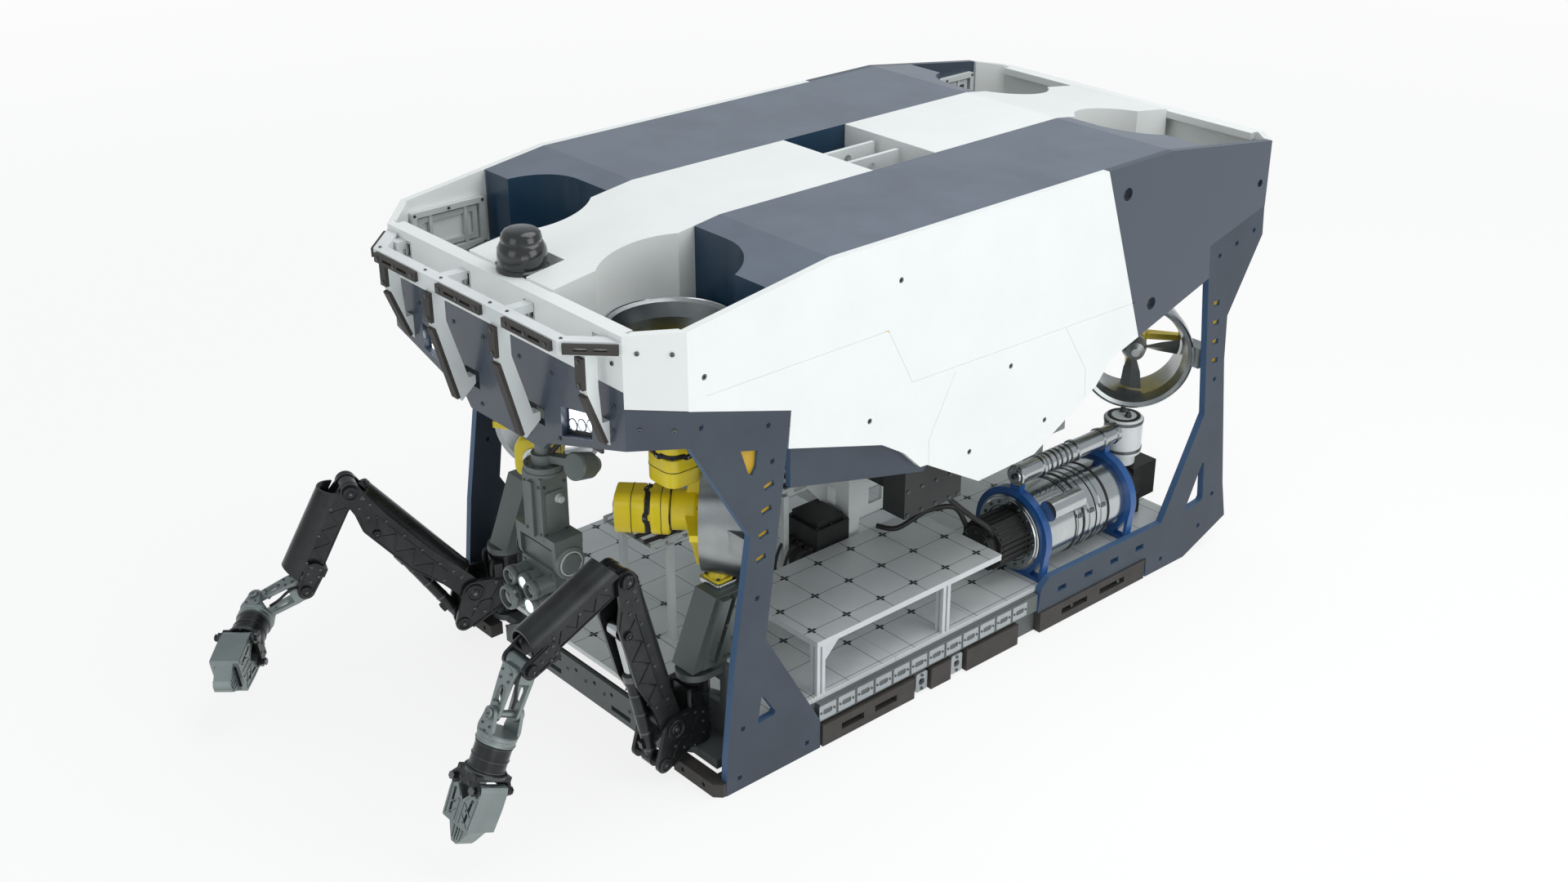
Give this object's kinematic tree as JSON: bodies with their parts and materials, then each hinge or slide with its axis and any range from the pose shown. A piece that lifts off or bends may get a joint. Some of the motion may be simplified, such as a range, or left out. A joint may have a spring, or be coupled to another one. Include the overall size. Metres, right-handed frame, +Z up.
{
  "type": "underwater work vehicle",
  "caption": "Underwater work vehicle with a buoyant upper body on a legged skid, ducted thrusters, a pan and tilt camera turret, a tool bay and jointed manipulator arms.",
  "frame": {"origin": "centre of the skid's underside, on the middle cross member", "axes": "+Z up; the front with the arms faces -Y; +X is the port side"},
  "size_m": [1.8631, 4.272, 1.958],
  "materials": {
    "white_plastic": "satin white",
    "white_foam": "satin white coating",
    "navy_foam": "satin navy coating",
    "navy_metal": "satin navy",
    "white_metal": "satin white",
    "rubber": "matt",
    "aluminium": "anodised",
    "steel": "polished",
    "blue_metal": "gloss blue",
    "black_metal": "black anodised",
    "grey_metal": "grey anodised",
    "black_plastic": "gloss black",
    "yellow_paint": "gloss yellow",
    "arm_metal": "hard black anodised",
    "arm_silver": "grey anodised"
  },
  "bodies": {
    "base": {"side_panel_port": "white_plastic", "side_panel_starboard": "white_plastic", "top_strip_port": "navy_foam", "top_strip_starboard": "navy_foam", "front_leg_port": "navy_metal", "front_leg_starboard": "navy_metal", "rear_leg_port": "navy_metal", "rear_leg_starboard": "navy_metal", "centre_packs": "white_foam", "nose_panel": "white_plastic", "front_corner_panels": "white_plastic", "rear_panels": "white_plastic", "bumper_frame": "navy_metal", "bumper_pads": "rubber", "skid_frame": "navy_metal", "skid_pads": "rubber", "deck": "aluminium", "bench": "aluminium", "canisters": "steel", "saddles": "blue_metal", "power_units": "black_metal", "inner_frame": "white_metal", "bay_modules": "grey_metal", "nose_instruments": "black_metal", "front_lift_nozzles": "black_plastic", "rear_lift_nozzles": "black_plastic", "front_drive_nozzles": "black_plastic", "rear_drive_nozzles": "black_plastic", "thruster_pods": "yellow_paint", "camera_mast": "black_metal"},
    "port_shoulder": {"port_shoulder": "arm_metal"},
    "port_upper_arm": {"port_upper_arm": "arm_metal"},
    "port_lift_barrel": {"port_lift_barrel": "arm_metal"},
    "port_lift_rod": {"port_lift_rod": "steel"},
    "port_forearm": {"port_forearm": "arm_metal"},
    "port_wrist_pitch": {"port_wrist_pitch": "arm_silver"},
    "port_wrist_yaw": {"port_wrist_yaw": "arm_silver"},
    "port_gripper": {"port_gripper": "arm_metal"},
    "port_jaw_a": {"port_jaw_a": "arm_silver"},
    "port_jaw_b": {"port_jaw_b": "arm_silver"},
    "starboard_shoulder": {"starboard_shoulder": "arm_metal"},
    "starboard_upper_arm": {"starboard_upper_arm": "arm_metal"},
    "starboard_lift_barrel": {"starboard_lift_barrel": "arm_metal"},
    "starboard_lift_rod": {"starboard_lift_rod": "steel"},
    "starboard_forearm": {"starboard_forearm": "arm_metal"},
    "starboard_wrist_pitch": {"starboard_wrist_pitch": "arm_silver"},
    "starboard_wrist_yaw": {"starboard_wrist_yaw": "arm_silver"},
    "starboard_gripper": {"starboard_gripper": "arm_metal"},
    "starboard_jaw_a": {"starboard_jaw_a": "arm_silver"},
    "starboard_jaw_b": {"starboard_jaw_b": "arm_silver"},
    "propeller_front_port_lift": {"propeller_front_port_lift": "black_plastic"},
    "propeller_front_starboard_lift": {"propeller_front_starboard_lift": "black_plastic"},
    "propeller_rear_port_lift": {"propeller_rear_port_lift": "black_plastic"},
    "propeller_rear_starboard_lift": {"propeller_rear_starboard_lift": "black_plastic"},
    "propeller_front_port_drive": {"propeller_front_port_drive": "black_plastic"},
    "propeller_front_starboard_drive": {"propeller_front_starboard_drive": "black_plastic"},
    "propeller_rear_port_drive": {"propeller_rear_port_drive": "black_plastic"},
    "propeller_rear_starboard_drive": {"propeller_rear_starboard_drive": "black_plastic"},
    "camera_pan": {"camera_pan": "grey_metal"},
    "camera_tilt": {"camera_tilt": "black_metal"}
  },
  "joints": [
    {"name": "port_slew", "type": "hinge", "parent": "base", "child": "port_shoulder", "pos_m": [0.584, -1.238, 0.228], "axis": [0, 0, 1], "range_deg": [-22, 40]},
    {"name": "port_shoulder_pitch", "type": "hinge", "parent": "port_shoulder", "child": "port_upper_arm", "pos_m": [0.584, -1.388, 0.228], "axis": [-1, 0, 0], "range_deg": [-40, 8]},
    {"name": "port_lift_swing", "type": "hinge", "parent": "port_shoulder", "child": "port_lift_barrel", "pos_m": [0.584, -1.442, 0.098], "axis": [-1, 0, 0], "range_deg": [-34.46, 7.69]},
    {"name": "port_lift_stroke", "type": "slide", "parent": "port_lift_barrel", "child": "port_lift_rod", "axis": [0, -0.2116, 0.9774], "range_m": [-0.0733, 0.0163]},
    {"name": "port_elbow", "type": "hinge", "parent": "port_upper_arm", "child": "port_forearm", "pos_m": [0.584, -1.56243, 0.89765], "axis": [-1, 0, 0], "range_deg": [-15, 25]},
    {"name": "port_wrist_pitch", "type": "hinge", "parent": "port_forearm", "child": "port_wrist_pitch", "pos_m": [0.584, -1.96527, 0.71576], "axis": [-1, 0, 0], "range_deg": [-10, 90]},
    {"name": "port_wrist_yaw", "type": "hinge", "parent": "port_wrist_pitch", "child": "port_wrist_yaw", "pos_m": [0.584, -2.04448, 0.55191], "axis": [0, -0.9003, 0.4352], "range_deg": [-75, 75]},
    {"name": "port_wrist_turn", "type": "hinge", "parent": "port_wrist_yaw", "child": "port_gripper", "pos_m": [0.584, -2.04448, 0.55191], "axis": [0, -0.4352, -0.9003], "continuous": true},
    {"name": "port_jaw_open", "type": "hinge", "parent": "port_gripper", "child": "port_jaw_a", "pos_m": [0.643, -2.15416, 0.32503], "axis": [0, -0.9003, 0.4352], "range_deg": [0, 35]},
    {"name": "port_jaw_follow", "type": "hinge", "parent": "port_gripper", "child": "port_jaw_b", "pos_m": [0.525, -2.15416, 0.32503], "axis": [0, 0.9003, -0.4352], "range_deg": [0, 35]},
    {"name": "starboard_slew", "type": "hinge", "parent": "base", "child": "starboard_shoulder", "pos_m": [-0.64, -1.238, 0.228], "axis": [0, 0, 1], "range_deg": [-20, 40]},
    {"name": "starboard_shoulder_pitch", "type": "hinge", "parent": "starboard_shoulder", "child": "starboard_upper_arm", "pos_m": [-0.6913, -1.37895, 0.228], "axis": [-0.9397, 0.342, 0], "range_deg": [-28, 33]},
    {"name": "starboard_lift_swing", "type": "hinge", "parent": "starboard_shoulder", "child": "starboard_lift_barrel", "pos_m": [-0.70977, -1.4297, 0.098], "axis": [-0.9397, 0.342, 0], "range_deg": [-24.91, 29.18]},
    {"name": "starboard_lift_stroke", "type": "slide", "parent": "starboard_lift_barrel", "child": "starboard_lift_rod", "axis": [-0.1874, -0.5149, 0.8365], "range_m": [-0.0557, 0.0653]},
    {"name": "starboard_elbow", "type": "hinge", "parent": "starboard_upper_arm", "child": "starboard_forearm", "pos_m": [-0.84312, -1.79607, 0.75888], "axis": [-0.9397, 0.342, 0], "range_deg": [-30, 17]},
    {"name": "starboard_wrist_pitch", "type": "hinge", "parent": "starboard_forearm", "child": "starboard_wrist_pitch", "pos_m": [-0.91456, -1.99234, 0.36934], "axis": [-0.9397, 0.342, 0], "range_deg": [-90, 20]},
    {"name": "starboard_wrist_yaw", "type": "hinge", "parent": "starboard_wrist_pitch", "child": "starboard_wrist_yaw", "pos_m": [-0.97267, -2.152, 0.30412], "axis": [-0.1226, -0.3368, 0.9336], "range_deg": [-130, 12]},
    {"name": "starboard_wrist_turn", "type": "hinge", "parent": "starboard_wrist_yaw", "child": "starboard_gripper", "pos_m": [-0.97267, -2.152, 0.30412], "axis": [0.6798, -0.7138, -0.1682], "continuous": true},
    {"name": "starboard_jaw_open", "type": "hinge", "parent": "starboard_gripper", "child": "starboard_jaw_a", "pos_m": [-0.79731, -2.34171, 0.31976], "axis": [-0.7302, -0.6803, -0.064], "range_deg": [0, 35]},
    {"name": "starboard_jaw_follow", "type": "hinge", "parent": "starboard_gripper", "child": "starboard_jaw_b", "pos_m": [-0.80542, -2.32208, 0.20369], "axis": [0.7302, 0.6803, 0.064], "range_deg": [0, 35]},
    {"name": "front_port_lift_spin", "type": "hinge", "parent": "base", "child": "propeller_front_port_lift", "pos_m": [0.43, -1.18, 1.56], "axis": [0, 0, 1], "continuous": true},
    {"name": "front_starboard_lift_spin", "type": "hinge", "parent": "base", "child": "propeller_front_starboard_lift", "pos_m": [-0.43, -1.18, 1.56], "axis": [0, 0, 1], "continuous": true},
    {"name": "rear_port_lift_spin", "type": "hinge", "parent": "base", "child": "propeller_rear_port_lift", "pos_m": [0.4, 1.29, 1.56], "axis": [0, 0, 1], "continuous": true},
    {"name": "rear_starboard_lift_spin", "type": "hinge", "parent": "base", "child": "propeller_rear_starboard_lift", "pos_m": [-0.4, 1.29, 1.56], "axis": [0, 0, 1], "continuous": true},
    {"name": "front_port_drive_spin", "type": "hinge", "parent": "base", "child": "propeller_front_port_drive", "pos_m": [0.556, -1.014, 0.94], "axis": [0.7071, 0.7071, 0], "continuous": true},
    {"name": "front_starboard_drive_spin", "type": "hinge", "parent": "base", "child": "propeller_front_starboard_drive", "pos_m": [-0.556, -1.014, 0.94], "axis": [-0.7071, 0.7071, 0], "continuous": true},
    {"name": "rear_port_drive_spin", "type": "hinge", "parent": "base", "child": "propeller_rear_port_drive", "pos_m": [0.556, 1.215, 0.94], "axis": [0.7071, -0.7071, 0], "continuous": true},
    {"name": "rear_starboard_drive_spin", "type": "hinge", "parent": "base", "child": "propeller_rear_starboard_drive", "pos_m": [-0.556, 1.215, 0.94], "axis": [-0.7071, -0.7071, 0], "continuous": true},
    {"name": "camera_pan", "type": "hinge", "parent": "base", "child": "camera_pan", "pos_m": [0, -1.445, 0.9], "axis": [0, 0, 1], "range_deg": [-90, 90]},
    {"name": "camera_tilt", "type": "hinge", "parent": "camera_pan", "child": "camera_tilt", "pos_m": [0, -1.44, 0.702], "axis": [1, 0, 0], "range_deg": [-30, 40]}
  ],
  "couplings": [
    {"joint": "port_lift_swing", "follows": "port_shoulder_pitch", "ratio": 0.8364},
    {"joint": "port_lift_stroke", "follows": "port_shoulder_pitch", "m_per_rad": 0.10213},
    {"joint": "port_jaw_follow", "follows": "port_jaw_open", "ratio": 1},
    {"joint": "starboard_lift_swing", "follows": "starboard_shoulder_pitch", "ratio": 0.8538},
    {"joint": "starboard_lift_stroke", "follows": "starboard_shoulder_pitch", "m_per_rad": 0.10987},
    {"joint": "starboard_jaw_follow", "follows": "starboard_jaw_open", "ratio": 1}
  ]
}
